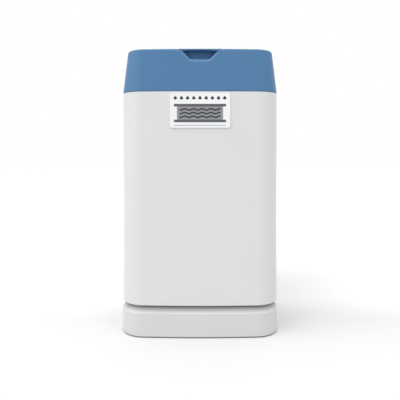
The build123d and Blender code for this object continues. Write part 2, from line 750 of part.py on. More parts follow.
def make_controls():
    """Window, display, circuit board with its key switches, four dished keys and the power inlet."""
    panel = sloping_panel()
    pane_width = display_size[0] + 2 * window_margin - 0.4
    pane_height = display_size[1] + 2 * window_margin - 0.4
    pane = Box(pane_width, pane_height, window_thickness)
    save("display_window", panel * Pos(0, display_row, -window_thickness / 2) * pane)

    board = panel * Pos(0, -3, -11) * Box(112, 46, 1.6)
    for x in key_places.values():
        board += panel * Pos(x, key_row, -8.7) * Box(6, 6, 3)
    save("control_board", board)
    save("display_module", panel * Pos(0, display_row, -6.9) * Box(64, 19, 6.6))

    stem_height = 6.0
    skirt = (key_radius + 1.5, 1.5)
    foot = (2.0, 2.0)
    dish_radius = 3.4
    for name, x in key_places.items():
        key = panel * Pos(x, key_row, -1.2) * Cylinder(key_radius, stem_height)
        key += panel * Pos(x, key_row, -3.45) * Cylinder(*skirt)
        key += panel * Pos(x, key_row, -5) * Cylinder(*foot)
        save(name, key - panel * Pos(x, key_row, 3.2) * Sphere(dish_radius))

    inlet_x = (-64.0, -52.0)
    inlet_z = (502.0, 514.0)
    inlet_back = bracket_back + 14
    middle = (sum(inlet_x) / 2, sum(inlet_z) / 2)
    inlet = block(inlet_x, (bracket_back, inlet_back), inlet_z)
    inlet -= bar("Y", 3.2, bracket_back + 4, inlet_back + past, middle)
    inlet += bar("Y", 1.0, bracket_back + 3, inlet_back - 2, middle)
    save("power_inlet", inlet)


def make_injector():
    """Injector under its cap, and the brine and drain elbows screwed into the valve body."""
    nozzle_top = injector_top - 2
    nozzle_bore = 2.2
    cap_radius = 11.0
    cap_top = injector_top + 5
    coin_slot = (24.0, 2.4, 4.0)
    save("injector", tube("Z", injector_radius, nozzle_bore, injector_bottom, nozzle_top, injector_at))
    cap = bar("Z", cap_radius, injector_top, cap_top, injector_at)
    cap += bar("Z", injector_radius, nozzle_top, injector_top + past, injector_at)
    save("injector_cap", cap - Pos(*injector_at, cap_top) * Box(*coin_slot))

    outer = 7.0
    inner = 2.5
    shoulder = -52.0
    mouth_y = 28.0
    leg = (elbow_y, elbow_z)
    turn = (elbow_x, elbow_z)
    elbow = bar("X", elbow_thread, shoulder, elbow_seat - 0.2, leg) + bar("X", outer, elbow_x, shoulder, leg)
    elbow += bar("Y", outer, mouth_y, elbow_y, turn) + Pos(elbow_x, elbow_y, elbow_z) * Sphere(outer)
    elbow -= bar("X", inner, elbow_x, elbow_seat + 2, leg)
    elbow -= bar("Y", line_radius + 0.05, mouth_y - past, mouth_y + 10, turn)
    elbow -= bar("Y", inner, mouth_y + 9, elbow_y, turn)
    save("brine_elbow", elbow)

    drain_x = 62.0
    drain_y, drain_z = drain_at
    outer = 8.0
    inner = 3.5
    barb_root = 5.6
    barb_tip = 7.0
    barb_start = 74.0
    barb_pitch = 6.0
    barb_length = 4.0
    turn = (drain_x, drain_z)
    drain = bar("X", drain_thread, 40, 48, drain_at) + bar("X", outer, 48, drain_x, drain_at)
    drain += Pos(drain_x, drain_y, drain_z) * Sphere(outer) + bar("Y", outer, drain_y, 66, turn)
    drain += bar("Y", barb_root, 66, 96, turn)
    for barb in range(4):
        middle = Pos(drain_x, barb_start + barb_pitch * barb, drain_z)
        drain += middle * Rot(-90, 0, 0) * Cone(barb_tip, barb_root, barb_length)
    drain -= bar("X", inner, 39, drain_x, drain_at) + bar("Y", inner, drain_y, 97, turn)
    save("drain_elbow", drain)


def make_meter():
    """Flow meter in the outlet port: a cage with three arms and a spindle, and its six-bladed turbine."""
    outlet = (port_x, port_z)
    cage_front = 88.0
    cage_bore = 8.6
    spindle_radius = 1.0
    wheel_y = (92.0, 100.0)
    cage = tube("Y", port_bore, cage_bore, cage_front, cage_front + 3, outlet)
    cage += bar("Y", 2.6, cage_front, cage_front + 2, outlet)
    for turn in range(3):
        arm = Pos(port_x, cage_front + 1.5, port_z) * Rot(0, 120 * turn, 0) * Pos(5.5, 0, 0)
        cage += arm * Box(7.4, 3, 1.6)
    cage += bar("Y", spindle_radius, cage_front + past, wheel_y[1] + past, outlet)
    save("meter_cage", cage)

    hub_radius = 3.0
    blade_angle = 35.0
    blade = (7.0, 6.5, 1.0)
    wheel = bar("Y", hub_radius, *wheel_y, outlet)
    for turn in range(6):
        spot = Pos(port_x, sum(wheel_y) / 2, port_z) * Rot(0, 60 * turn, 0) * Pos(5.8, 0, 0)
        wheel += spot * Rot(blade_angle, 0, 0) * Box(*blade)
    wheel -= bar("Y", spindle_radius + 0.06, wheel_y[0] - past, wheel_y[1] + past, outlet)
    save("meter_turbine", wheel)


def make_bypass():
    """Bypass body: two ports through two rotor housings, joined by a cross passage and a web."""
    collar = port_radius + 2
    cross_radius = 13.0
    rotor_bore = 16.0
    web_y = (rotor_y - 2, rotor_y + 2)
    groove_y = (socket_front + 4.8, socket_front + 7.2)
    groove_root = 10.85
    spots = ((-port_x, port_z), (port_x, port_z))
    body = Part()
    for spot in spots:
        body += bar("Y", port_radius, port_back, bypass_back, spot)
        body += bar("Y", socket_radius - 0.3, socket_front + 2, port_back, spot)
        body += bar("Y", collar, port_back + 4, port_back + 8, spot)
        body += bar("Y", collar, bypass_back - 14, bypass_back - 10, spot)
        body += bar("Z", rotor_housing, rotor_floor - 4, rotor_top, (spot[0], rotor_y))
    body += bar("X", cross_radius, -port_x, port_x, (rotor_y, port_z))
    body += block((-port_x, port_x), web_y, (rotor_floor - 2, rotor_top - 4))
    for spot in spots:
        body -= bar("Y", bypass_bore, socket_front, bypass_back + past, spot)
        body -= bar("Z", rotor_bore, rotor_floor, rotor_top + past, (spot[0], rotor_y))
        body -= tube("Y", socket_radius, groove_root, *groove_y, spot)
    body -= bar("X", bypass_bore, -port_x, port_x, (rotor_y, port_z))
    save("bypass_body", body)


def make_rotors():
    """Bypass rotors, each with its notched cap and a lever handle that shows the flow's direction."""
    cap_height = 5.0
    skirt_depth = 3.7
    cap_bore = stem_radius + 0.3
    notch = (4.0, 4.0, 8.0)
    rotor_passage = bypass_bore - 1
    handle_low = rotor_top + 6
    handle_top = handle_low + 12
    handle_radius = 11.0
    handle_edge = 1.2
    grip_half = (5.0, 30.0)
    grip_corner = 4.0
    pointer = (2.5, 2.0)
    caps = []
    for name, x in (("inlet", -port_x), ("outlet", port_x)):
        spot = (x, rotor_y)
        rotor = bar("Z", rotor_radius, rotor_floor, rotor_top - 4, spot)
        rotor += bar("Z", stem_radius, rotor_top - 4, stem_top, spot)
        rotor -= bar("Y", rotor_passage, rotor_y - 20, rotor_y + 20, (x, port_z))
        save(f"{name}_rotor", rotor)
        cap = tube("Z", rotor_housing, cap_bore, rotor_top, rotor_top + cap_height, spot)
        cap += tube("Z", rotor_radius, cap_bore, rotor_top - skirt_depth, rotor_top, spot)
        for turn in range(8):
            rim = Pos(x, rotor_y, rotor_top + 3) * Rot(0, 0, 45 * turn) * Pos(rotor_housing, 0, 0)
            cap -= rim * Box(*notch)
        caps.append(cap)
        grip_x = (x - grip_half[0], x + grip_half[0])
        grip = block(grip_x, (rotor_y - grip_half[1], rotor_y + grip_half[1]), (handle_low + 2, handle_top))
        handle = bar("Z", handle_radius, handle_low, handle_top, spot)
        handle += fillet(grip.edges().filter_by(Axis.Z), grip_corner)
        handle = fillet(handle.edges().group_by(Axis.Z)[-1], handle_edge)
        handle += Pos(x, rotor_y + grip_half[1] - 4, handle_top) * Cylinder(*pointer)
        save(f"{name}_handle", handle - bar("Z", stem_radius, handle_low - past, stem_top, spot))
    save("rotor_caps", *caps)


def make_unions():
    """Union nuts at both ends of the bypass, its O-rings and the tank's, and the brass pipe adapters."""
    nut_flats = 40.0
    nut_bore = port_radius + 0.1
    hexagon_flats = 30.0
    flange_end = bypass_back + 6
    hexagon_end = bypass_back + 14
    thread_start = 1.2
    nuts = []
    adapters = []
    rings = [Pos(0, tank_y, tank_top + ring_half) * Torus(ring_radius, ring_half)]
    for spot in ((-port_x, port_z), (port_x, port_z)):
        nuts.append(hex_nut(nut_flats, nut_bore, 110, port_back + 4, spot))
        nuts.append(hex_nut(nut_flats, nut_bore, bypass_back - 10, bypass_back + 4, spot))
        rings.append(Pos(spot[0], socket_front + 6, port_z) * Rot(90, 0, 0) * Torus(socket_radius - 1.1, 1))
        adapter = bar("Y", port_radius - 0.2, bypass_back, flange_end, spot)
        adapter += hex_nut(hexagon_flats, bypass_bore, flange_end, hexagon_end, spot)
        adapter += bar("Y", thread_radius, hexagon_end, spigot_end, spot)
        adapter -= bar("Y", bypass_bore, bypass_back - past, spigot_end + past, spot)
        tip = adapter.edges().filter_by(GeomType.CIRCLE).sort_by(Axis.Y)[-1]
        adapters.append(chamfer(tip, thread_start))
    save("union_nuts", *nuts)
    save("o_rings", *rings)
    save("pipe_adapters", *adapters)


def make_brine_well():
    """Brine well with its slits and lift-off lid."""
    spot = (well_x, well_y)
    bore = well_radius - well_wall
    slit = (10.0, 20.0, 4.0)
    line_hole = 7.0
    well = tube("Z", well_radius, bore, tub_floor, well_top, spot)
    for turn in range(6):
        for z in (84.0, 100.0):
            well -= Pos(*spot, z) * Rot(0, 0, 60 * turn + 30) * Pos(well_radius, 0, 0) * Box(*slit)
    well -= bar("Y", line_hole, well_y, well_y + well_radius + 5, (pickup_x, line_z))
    save("brine_well", well)

    lid_top = well_top + 3
    skirt = (bore - 0.4, bore - 2.6)
    skirt_depth = 7.0
    line_gap = 9.0
    grip_half = (3.0, 16.0)
    grip_top = well_top + 14
    lid_edge = 1.2
    lid = bar("Z", well_radius + 2, well_top, lid_top, spot)
    lid += tube("Z", *skirt, well_top - skirt_depth, well_top, spot)
    lid -= block((pickup_x - line_gap, pickup_x + line_gap), (well_y, well_y + 60), (well_top - 9, well_top))
    grip_x = (well_x - grip_half[0], well_x + grip_half[0])
    lid += block(grip_x, (well_y - grip_half[1], well_y + grip_half[1]), (lid_top - past, grip_top))
    save("well_cap", fillet(lid.edges().group_by(Axis.Z)[-1], lid_edge))


def make_brine_valve():
    """Safety valve block in the well, with its float and rod, the pick-up tube and the air check."""
    pickup = (pickup_x, well_y)
    rod_spot = (float_x, well_y)
    block_z = (440.0, 456.0)
    block_corner = 5.0
    nose_radius = 7.0
    passage = 2.5
    tube_top = 445.0
    valve = block((float_x - 9, pickup_x + 8), (well_y - 9, well_y + 9), block_z)
    valve = fillet(valve.edges().filter_by(Axis.Z), block_corner)
    valve += bar("Y", nose_radius, well_y + 8, well_y + 20, (pickup_x, line_z))
    valve += block((float_x - 20, float_x - 8), (well_y - 4, well_y + 4), (444, 450))
    valve = valve & bar("Z", well_radius - well_wall, block_z[0] - 10, block_z[1] + 4, (well_x, well_y))
    valve -= bar("Y", line_radius + 0.05, well_y + 10, well_y + 21, (pickup_x, line_z))
    valve -= bar("Y", passage, well_y, well_y + 11, (pickup_x, line_z))
    valve -= bar("Z", passage, tube_top - past, line_z, pickup)
    valve -= bar("Z", pickup_radius, block_z[0] - past, tube_top, pickup)
    valve -= bar("Z", float_rod_radius + 0.3, block_z[0] - past, block_z[1] + past, rod_spot)
    save("brine_valve", valve)

    pickup_bore = 3.6
    check_radius = 12.0
    check_wall = 2.0
    lid_z = (108.0, 112.0)
    window = (8.0, 4.0, 26.0)
    window_z = 92.0
    save("pickup_tube", tube("Z", pickup_radius, pickup_bore, lid_z[0], tube_top, pickup))
    check = tube("Z", check_radius, check_radius - check_wall, tub_floor + 2, lid_z[1], pickup)
    check += bar("Z", check_radius, *lid_z, pickup)
    check += bar("Z", check_radius, tub_floor, tub_floor + 3, pickup)
    for turn in range(6):
        check -= Pos(*pickup, window_z) * Rot(0, 0, 60 * turn) * Pos(check_radius, 0, 0) * Box(*window)
    check -= bar("Z", pickup_radius, lid_z[0] - past, lid_z[1] + past, pickup)
    save("air_check", check)

    float_z = (290.0, 330.0)
    float_edge = 4.0
    rod_z = (130.0, 455.0)
    save("float_rod", bar("Z", float_rod_radius, *rod_z, rod_spot))
    bob = bar("Z", float_radius, *float_z, rod_spot)
    bob = fillet(bob.edges().filter_by(GeomType.CIRCLE), float_edge)
    save("brine_float", bob - bar("Z", float_rod_radius, float_z[0] - past, float_z[1] + past, rod_spot))


def bend_radius(before, corner, after):
    """Radius of a bend that takes 0.45 of the shorter of its two runs."""
    first = Vector(corner) - Vector(before)
    second = Vector(after) - Vector(corner)
    half_turn = radians(first.get_angle(second)) / 2
    return 0.45 * min(first.length, second.length) / tan(half_turn)


def make_brine_line():
    """Brine line from the well's valve up to the injector's elbow, in two gentle bends."""
    inner = line_radius - line_wall
    route = [(pickup_x, well_y + 11, line_z), (pickup_x, -90, line_z)]
    route += [(elbow_x, -18, elbow_z), (elbow_x, elbow_y - 7, elbow_z)]
    bends = (bend_radius(*route[:3]), bend_radius(*route[1:]))
    path = FilletPolyline(*route, radius=bends)
    ring = Plane(origin=route[0], z_dir=(0, 1, 0)) * (Circle(line_radius) - Circle(inner))
    line = sweep(ring, path)
    expected = pi * (line_radius**2 - inner**2) * path.length
    print("brine line: bend radii", [round(bend) for bend in bends])
    print("brine line: solid over expected volume", round(line.volume / expected, 4))
    save("brine_line", line)


def make_grid():
    """Salt grid: slotted plate on legs, cut round the brine well and the pressure tank."""
    low = grid_top - grid_thickness
    cut_z = (low - past, grid_top + past)
    edge_inset = 8.0
    slot_half = (3.0, 10.0)
    slot_pitch = 20
    slot_rows = (-190.0, -160.0, -130.0, -100.0, -70.0)
    past_well = well_radius + 16
    past_corner = 210.0
    leg_radius = 6.0
    leg_bore = 4.0
    legs = ((-130, -85), (-10, -85), (110, -85), (-30, -190), (50, -190), (100, -155))
    plate = prism(edge_inset, low, grid_top) - block((-half_width, half_width), (grid_back, back_y), cut_z)
    for x in range(-130, 131, slot_pitch):
        for y in slot_rows:
            if hypot(x - well_x, y - well_y) > past_well and hypot(x, y) < past_corner:
                slot_x = (x - slot_half[0], x + slot_half[0])
                plate -= block(slot_x, (y - slot_half[1], y + slot_half[1]), cut_z)
    for leg in legs:
        plate += tube("Z", leg_radius, leg_bore, tub_floor, low + past, leg)
    plate -= bar("Z", well_radius + 1.5, *cut_z, (well_x, well_y))
    save("salt_grid", plate)


def make_overflow():
    """Overflow elbow through the tub's back, with its gasket outside and nut inside."""
    x, z = overflow_at
    face = back_y - tub_inset
    bend_y = back_y + 13
    flange = 15.0
    outer = 8.0
    bore = 5.0
    hose_bore = 4.6
    barb_root = 6.2
    barb_tip = 7.6
    barb_start = z - 36
    barb_pitch = 7.0
    barb_length = 4.0
    down = (x, bend_y)
    elbow = bar("Y", overflow_stem, back_y - 16, back_y + 2, overflow_at)
    elbow += bar("Y", flange, back_y + 1.5, back_y + 4.5, overflow_at)
    elbow += bar("Y", outer, back_y + 4, bend_y, overflow_at)
    elbow += Pos(x, bend_y, z) * Sphere(outer) + bar("Z", outer, z - 16, z, down)
    elbow += bar("Z", barb_root, z - 40, z - 15, down)
    for barb in range(3):
        elbow += Pos(x, bend_y, barb_start + barb_pitch * barb) * Cone(barb_root, barb_tip, barb_length)
    elbow -= bar("Y", bore, back_y - 17, bend_y, overflow_at) + bar("Z", hose_bore, z - 41, z, down)
    save("overflow_elbow", elbow)
    save("overflow_gasket", tube("Y", flange, overflow_stem + 0.2, face, back_y + 1.5, overflow_at))

    nut_flats = 28.0
    nut_length = 8.0
    seat = face - tub_wall
    save("overflow_nut", hex_nut(nut_flats, overflow_stem + 0.1, seat - nut_length, seat, overflow_at))


make_plinth()
make_tub()
make_top_cover()
make_hatch()
make_badge()
make_tank()
make_valve_body()
make_piston_group()
make_gear_train()
make_drive_frame()
make_valve_cover()
make_controls()
make_injector()
make_meter()
make_bypass()
make_rotors()
make_unions()
make_brine_well()
make_brine_valve()
make_brine_line()
make_grid()
make_overflow()
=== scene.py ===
"""Compact cabinet water conditioner on a white studio floor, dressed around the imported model."""

from math import atan2, cos, pi, radians, sin, sqrt

import bpy
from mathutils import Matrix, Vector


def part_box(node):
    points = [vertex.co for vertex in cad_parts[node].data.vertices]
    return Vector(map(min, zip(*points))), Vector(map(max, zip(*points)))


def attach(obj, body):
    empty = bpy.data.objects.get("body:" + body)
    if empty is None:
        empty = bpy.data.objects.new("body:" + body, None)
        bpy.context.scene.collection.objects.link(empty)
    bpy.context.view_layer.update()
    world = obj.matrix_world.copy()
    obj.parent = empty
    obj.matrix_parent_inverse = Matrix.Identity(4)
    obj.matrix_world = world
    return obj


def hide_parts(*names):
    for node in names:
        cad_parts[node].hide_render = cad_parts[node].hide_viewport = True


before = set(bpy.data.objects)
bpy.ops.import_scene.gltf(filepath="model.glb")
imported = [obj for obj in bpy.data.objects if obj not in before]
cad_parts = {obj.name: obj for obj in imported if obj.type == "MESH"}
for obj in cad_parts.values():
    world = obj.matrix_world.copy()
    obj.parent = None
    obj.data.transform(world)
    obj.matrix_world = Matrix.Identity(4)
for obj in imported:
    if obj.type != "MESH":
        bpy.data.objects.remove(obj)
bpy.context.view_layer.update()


# Camera: level, straight in front of the cabinet and close to it, with its lens shifted down so that
# the upright edges stay parallel. The distance and height come from how the cabinet's edges curve.
camera_distance = 0.839
camera_height = 0.372
lens_length = 38.3
lens_shift = -0.125
front_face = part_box("badge_plate")[0].y
camera_data = bpy.data.cameras.new("camera")
camera_data.lens = lens_length
camera_data.shift_y = lens_shift
camera = bpy.data.objects.new("camera", camera_data)
camera.location = (0, front_face - camera_distance, camera_height)
camera.rotation_euler = (radians(90), 0, 0)
bpy.context.scene.collection.objects.link(camera)
bpy.context.scene.camera = camera


# Studio: a white surround that is brightest overhead, like a large softbox over the table, with a broad
# key lamp high on the left and a weak fill on the right. What the lens and any gloss see of the surround
# is plain white. The object gets a plain level of light.
surround_low = 0.42
surround_high = 1.25
key_strength = 1.15
key_direction = (0.85, 0.42, -0.85)
key_spread = 60.0
fill_strength = 0.43
fill_direction = (-0.55, 0.75, -0.70)
fill_spread = 70.0


def seen_directly(nodes, links):
    """One for rays from the lens, from gloss and through glass, and zero for light that is scattered."""
    path = nodes.new("ShaderNodeLightPath")
    seen = path.outputs["Is Camera Ray"]
    for name in ("Is Glossy Ray", "Is Transmission Ray"):
        both = nodes.new("ShaderNodeMath")
        both.operation = "MAXIMUM"
        links.new(seen, both.inputs[0])
        links.new(path.outputs[name], both.inputs[1])
        seen = both.outputs[0]
    return seen


def shine(name, direction, strength, spread):
    """A far lamp that shines along a direction, with soft-edged shadows."""
    lamp_data = bpy.data.lights.new(name, "SUN")
    lamp_data.energy = strength
    lamp_data.angle = radians(spread)
    lamp = bpy.data.objects.new(name, lamp_data)
    across = sqrt(direction[0] ** 2 + direction[1] ** 2)
    lamp.rotation_euler = (atan2(across, -direction[2]), 0, atan2(-direction[0], direction[1]))
    bpy.context.scene.collection.objects.link(lamp)


bpy.context.scene.view_settings.view_transform = "Standard"
world = bpy.data.worlds.new("surround")
bpy.context.scene.world = world
world.use_nodes = True
sky = world.node_tree.nodes
sky_links = world.node_tree.links
background = sky["Background"]
background.inputs["Color"].default_value = (1.0, 1.0, 1.0, 1.0)
sky_place = sky.new("ShaderNodeTexCoord")
sky_axes = sky.new("ShaderNodeSeparateXYZ")
sky_links.new(sky_place.outputs["Generated"], sky_axes.inputs[0])
softbox = sky.new("ShaderNodeMapRange")
softbox.inputs["To Min"].default_value = surround_low
softbox.inputs["To Max"].default_value = surround_high
sky_links.new(sky_axes.outputs["Z"], softbox.inputs["Value"])
level = sky.new("ShaderNodeMapRange")
level.inputs["To Max"].default_value = 1.0
sky_links.new(seen_directly(sky, sky_links), level.inputs["Value"])
sky_links.new(softbox.outputs[0], level.inputs["To Min"])
sky_links.new(level.outputs[0], background.inputs["Strength"])
shine("key_lamp", key_direction, key_strength, key_spread)
shine("fill_lamp", fill_direction, fill_strength, fill_spread)


# Floor: a wide sheet of white studio paper. It keeps the cabinet's soft shadow, and the lens sees the
# rest of it nearly as white as the surround. Towards the back, a painted glow lightens it further and fades
# the shadow.
floor_size = 14.0
floor_bounce = 0.42
floor_white = 0.80
glow_start = front_face + 0.08
glow_end = front_face + 0.24
painted_glow = 0.16


def alone():
    """Leave nothing selected, so that the next operator acts only on what it is given."""
    bpy.ops.object.select_all(action="DESELECT")


alone()
bpy.ops.mesh.primitive_plane_add(size=floor_size, location=(0, 0, 0))
floor = bpy.context.object
floor.name = "floor"
paper = bpy.data.materials.new("studio_paper")
paper.use_nodes = True
paper_nodes = paper.node_tree.nodes
paper_links = paper.node_tree.links
paper_shader = paper_nodes["Principled BSDF"]
paper_shader.inputs["Roughness"].default_value = 0.9
paper_shader.inputs["Specular IOR Level"].default_value = 0.1
paper_shader.inputs["Emission Color"].default_value = (1.0, 1.0, 1.0, 1.0)
paper_seen = seen_directly(paper_nodes, paper_links)
paper_tone = paper_nodes.new("ShaderNodeMapRange")
paper_tone.inputs["To Min"].default_value = floor_bounce
paper_tone.inputs["To Max"].default_value = floor_white
paper_links.new(paper_seen, paper_tone.inputs["Value"])
paper_links.new(paper_tone.outputs[0], paper_shader.inputs["Base Color"])
paper_place = paper_nodes.new("ShaderNodeTexCoord")
paper_axes = paper_nodes.new("ShaderNodeSeparateXYZ")
paper_links.new(paper_place.outputs["Object"], paper_axes.inputs[0])
# Painted light: the floor glows more towards the back, where it fades the cabinet's shadow.
glow_ramp = paper_nodes.new("ShaderNodeMapRange")
glow_ramp.interpolation_type = "SMOOTHSTEP"
glow_ramp.inputs["From Min"].default_value = glow_start
glow_ramp.inputs["From Max"].default_value = glow_end
glow_ramp.inputs["To Max"].default_value = painted_glow
paper_links.new(paper_axes.outputs["Y"], glow_ramp.inputs["Value"])
glow = paper_nodes.new("ShaderNodeMath")
glow.operation = "MULTIPLY"
paper_links.new(glow_ramp.outputs[0], glow.inputs[0])
paper_links.new(paper_seen, glow.inputs[1])
paper_links.new(glow.outputs[0], paper_shader.inputs["Emission Strength"])
floor.data.materials.append(paper)


# Salt tub: white moulded polypropylene with a satin skin, screwed down on the plinth's neck. Thin walls
# like these come out of the mould with a very faint unevenness.
cabinet_white = (0.835, 0.84, 0.84)
weld_gap = 0.000002
flat_angle = 0.2


def moulded_skin():
    """Node group for moulded plastic: a fine grain, and slow drifts of tone and gloss."""
    group = bpy.data.node_groups.new("moulded_skin", "ShaderNodeTree")
    face = group.interface
    face.new_socket("Color", in_out="INPUT", socket_type="NodeSocketColor")
    for name in ("Tone Drift", "Roughness", "Gloss Drift", "Grain Size"):
        face.new_socket(name, in_out="INPUT", socket_type="NodeSocketFloat")
    face.new_socket("Color", in_out="OUTPUT", socket_type="NodeSocketColor")
    face.new_socket("Roughness", in_out="OUTPUT", socket_type="NodeSocketFloat")
    face.new_socket("Grain", in_out="OUTPUT", socket_type="NodeSocketFloat")
    nodes = group.nodes
    links = group.links
    given = nodes.new("NodeGroupInput")
    result = nodes.new("NodeGroupOutput")
    place = nodes.new("ShaderNodeTexCoord")
    slow = nodes.new("ShaderNodeTexNoise")
    slow.inputs["Scale"].default_value = 9.0
    slow.inputs["Detail"].default_value = 3.0
    links.new(place.outputs["Object"], slow.inputs["Vector"])
    fine = nodes.new("ShaderNodeTexNoise")
    fine.inputs["Detail"].default_value = 2.0
    per_metre = nodes.new("ShaderNodeMath")
    per_metre.operation = "DIVIDE"
    per_metre.inputs[0].default_value = 1.0
    links.new(given.outputs["Grain Size"], per_metre.inputs[1])
    links.new(place.outputs["Object"], fine.inputs["Vector"])
    links.new(per_metre.outputs[0], fine.inputs["Scale"])
    links.new(fine.outputs["Fac"], result.inputs["Grain"])

    def drifting(amount, around):
        """The slow drift as a swing either way, times an amount, and added to a value or to 1."""
        centred = nodes.new("ShaderNodeMath")
        centred.operation = "SUBTRACT"
        centred.inputs[1].default_value = 0.5
        links.new(slow.outputs["Fac"], centred.inputs[0])
        scaled = nodes.new("ShaderNodeMath")
        scaled.operation = "MULTIPLY_ADD"
        links.new(centred.outputs[0], scaled.inputs[0])
        links.new(amount, scaled.inputs[1])
        if around is None:
            scaled.inputs[2].default_value = 1.0
        else:
            links.new(around, scaled.inputs[2])
        return scaled.outputs[0]

    tint = nodes.new("ShaderNodeVectorMath")
    tint.operation = "SCALE"
    links.new(given.outputs["Color"], tint.inputs[0])
    links.new(drifting(given.outputs["Tone Drift"], None), tint.inputs["Scale"])
    links.new(tint.outputs[0], result.inputs["Color"])
    links.new(drifting(given.outputs["Gloss Drift"], given.outputs["Roughness"]), result.inputs["Roughness"])
    return group


skin_group = moulded_skin()


def moulded(name, color, rough, grain, depth, drift=0.03, specular=0.5):
    """Moulded plastic. The grain's width and depth are in metres, and drift is how far the tone wanders."""
    material = bpy.data.materials.new(name)
    material.use_nodes = True
    nodes = material.node_tree.nodes
    links = material.node_tree.links
    shader = nodes["Principled BSDF"]
    skin = nodes.new("ShaderNodeGroup")
    skin.node_tree = skin_group
    skin.inputs["Color"].default_value = (*color, 1.0)
    skin.inputs["Tone Drift"].default_value = drift
    skin.inputs["Roughness"].default_value = rough
    skin.inputs["Gloss Drift"].default_value = 0.06
    skin.inputs["Grain Size"].default_value = grain
    bump = nodes.new("ShaderNodeBump")
    bump.inputs["Strength"].default_value = 1.0
    bump.inputs["Distance"].default_value = depth
    links.new(skin.outputs["Color"], shader.inputs["Base Color"])
    links.new(skin.outputs["Roughness"], shader.inputs["Roughness"])
    links.new(skin.outputs["Grain"], bump.inputs["Height"])
    links.new(bump.outputs["Normal"], shader.inputs["Normal"])
    shader.inputs["Specular IOR Level"].default_value = specular
    return material


def soften(piece, rounding, sharp=35):
    """Round a piece's edges that are sharper than an angle by a radius in metres, as live modifiers."""
    edge = piece.modifiers.new("edge", "BEVEL")
    edge.width = rounding
    edge.segments = 3
    edge.limit_method = "ANGLE"
    edge.angle_limit = radians(sharp)
    edge.use_clamp_overlap = True
    shading = piece.modifiers.new("shading", "WEIGHTED_NORMAL")
    shading.weight = 50


def dress(material, rounding, *names):
    """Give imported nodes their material, and round their sharp edges by a radius in metres."""
    for name in names:
        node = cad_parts[name]
        node.data.materials.clear()
        node.data.materials.append(material)
        if rounding == 0:
            continue
        weld = node.modifiers.new("weld", "WELD")
        weld.merge_threshold = weld_gap
        flat = node.modifiers.new("flat", "DECIMATE")
        flat.decimate_type = "DISSOLVE"
        flat.angle_limit = radians(flat_angle)
        soften(node, rounding)


white_shell = moulded("cabinet_white", cabinet_white, rough=0.42, grain=0.0012, depth=0.000004)
dress(white_shell, 0.0006, "cabinet_body")


# Plinth: its own moulding, a shade greyer than the tub, with a toe step round its foot. Painted shade
# darkens the shoulder in the groove under the tub and the step round the foot.
plinth_white = (0.765, 0.77, 0.77)
foot_step = 0.0024
foot_line = 0.0002
upright_tilt = 0.2
outer_reach = 0.02
groove_top = 0.064
# Painted shade by height: dark in the toe step, and darker up the groove's shoulder towards the tub.
step_shade_tones = ((0.0, 0.2), (0.002, 0.25), (0.003, 1.0))
groove_shade_tones = ((0.0475, 1.0), (0.052, 0.74), (0.056, 0.53), (0.060, 0.37), (groove_top, 0.34))


def painted_shade_by_height(material, top, tones):
    """Paint shade into a material by height: each tone is a height in metres and the share of the colour left
    there.
    """
    nodes = material.node_tree.nodes
    links = material.node_tree.links
    place = nodes.new("ShaderNodeTexCoord")
    axes = nodes.new("ShaderNodeSeparateXYZ")
    links.new(place.outputs["Object"], axes.inputs[0])
    height = nodes.new("ShaderNodeMath")
    height.operation = "DIVIDE"
    height.inputs[1].default_value = top
    links.new(axes.outputs["Z"], height.inputs[0])
    ramp = nodes.new("ShaderNodeValToRGB")
    links.new(height.outputs[0], ramp.inputs[0])
    steps = ramp.color_ramp.elements
    for level, share in tones:
        position = level / top
        step = steps[0] if position == 0 else steps[-1] if position == 1 else steps.new(position)
        step.color = (share, share, share, 1.0)
    shader = nodes["Principled BSDF"]
    unshaded_colour = shader.inputs["Base Color"].links[0].from_socket
    shaded_colour = nodes.new("ShaderNodeVectorMath")
    shaded_colour.operation = "MULTIPLY"
    links.new(unshaded_colour, shaded_colour.inputs[0])
    links.new(ramp.outputs["Color"], shaded_colour.inputs[1])
    links.new(shaded_colour.outputs[0], shader.inputs["Base Color"])


def copy_of(node, name):
    """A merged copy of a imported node, in object mode, with nothing in its mesh selected."""
    alone()
    piece = bpy.data.objects.new(name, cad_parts[node].data.copy())
    bpy.context.scene.collection.objects.link(piece)
    bpy.context.view_layer.objects.active = piece
    piece.select_set(True)
    bpy.ops.object.mode_set(mode="EDIT")
    bpy.ops.mesh.select_all(action="SELECT")
    bpy.ops.mesh.remove_doubles(threshold=weld_gap)
    bpy.ops.mesh.dissolve_limited(angle_limit=radians(flat_angle))
    bpy.ops.mesh.select_all(action="DESELECT")
    bpy.ops.object.mode_set(mode="OBJECT")
    return piece


def bevel_chosen(width, segments, profile):
    """Bevel the edges that were just chosen on the copy."""
    bpy.context.tool_settings.mesh_select_mode = (False, True, False)
    bpy.ops.object.mode_set(mode="EDIT")
    bpy.ops.mesh.bevel(offset=width, segments=segments, profile=profile)
    bpy.ops.mesh.select_mode(type="FACE")
    bpy.ops.object.mode_set(mode="OBJECT")


def add_piece(name, material, body):
    """Finish the piece that was just made: name it, give it its material, and fix it to its body."""
    piece = bpy.context.object
    piece.name = name
    piece.data.name = name
    piece.data.materials.clear()
    piece.data.materials.append(material)
    bpy.ops.object.transform_apply(location=True, rotation=True, scale=True)
    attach(piece, body)


plinth = copy_of("cabinet_base", "plinth_shell")
outline = plinth.data
walls = set()
for face in outline.polygons:
    outward = face.normal.x * face.center.x + face.normal.y * face.center.y
    if abs(face.normal.z) < upright_tilt and outward > outer_reach:
        walls.update(face.edge_keys)
for edge in outline.edges:
    low = all(outline.vertices[corner].co.z < foot_line for corner in edge.vertices)
    edge.select = low and edge.key in walls
bevel_chosen(foot_step, segments=2, profile=0.0)
plinth_shell = moulded("plinth_white", plinth_white, rough=0.42, grain=0.0012, depth=0.000004)
